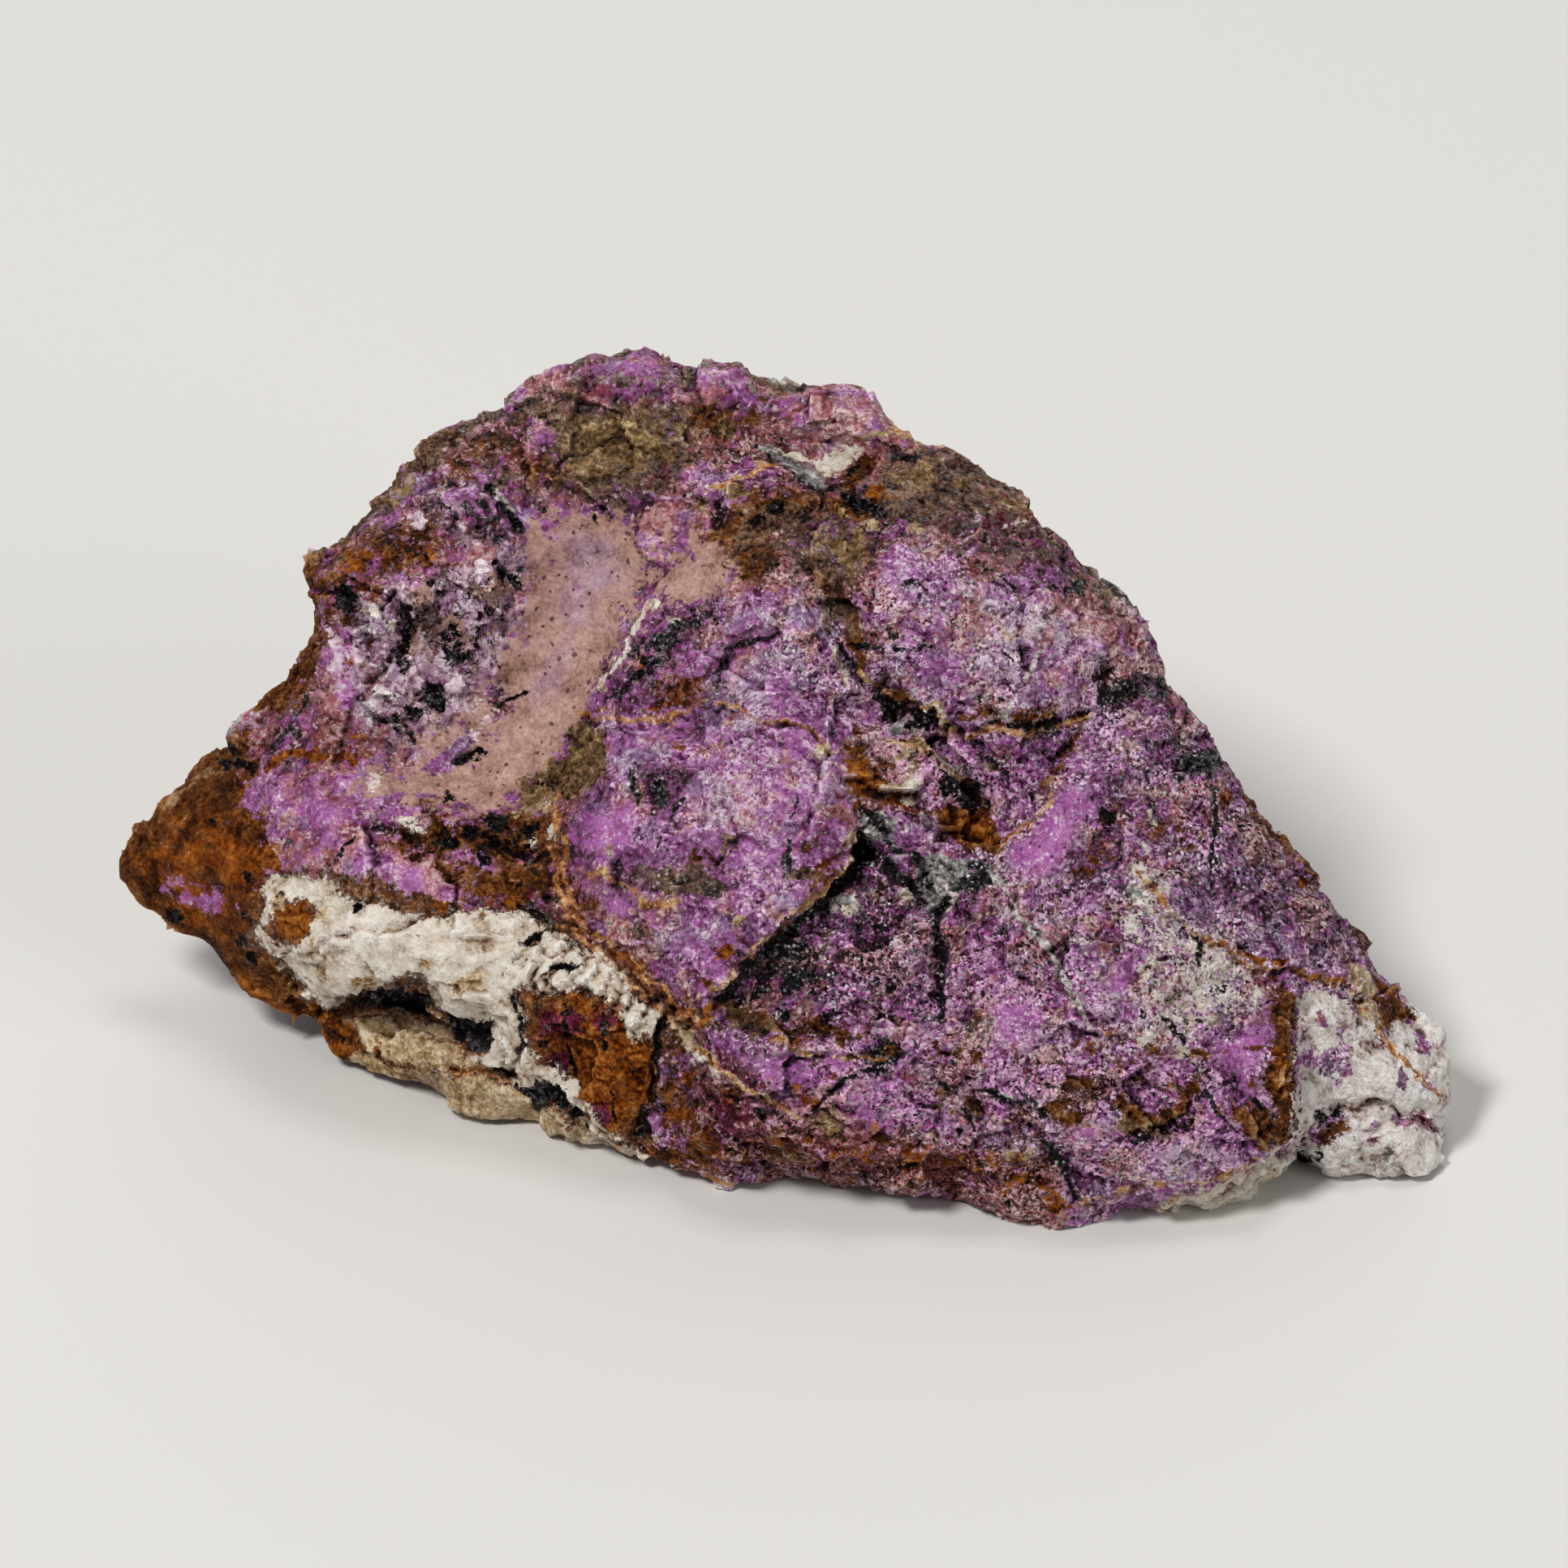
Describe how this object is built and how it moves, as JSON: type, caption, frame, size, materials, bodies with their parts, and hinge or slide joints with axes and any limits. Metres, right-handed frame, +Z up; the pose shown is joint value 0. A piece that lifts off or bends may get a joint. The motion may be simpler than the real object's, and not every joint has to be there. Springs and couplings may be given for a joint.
{
  "type": "purpurite specimen",
  "caption": "Rough, wedge-shaped hand specimen of purple purpurite with pale matrix along its lower edge and one end; rests on a flat broken base.",
  "frame": {"origin": "middle of the bounding box at its bottom, on the table that the stone rests on", "axes": "+X along the stone's length, from the narrow brown tip to the white knob at the other end; +Y from the main, sloping face to the steep back; +Z up"},
  "size_m": [0.0708, 0.0408, 0.0329],
  "materials": {
    "stone": "rough, finely granular broken stone, purple with brown, orange and cream patches"
  },
  "bodies": {
    "root": {"purpurite_stone": "stone"}
  },
  "joints": []
}
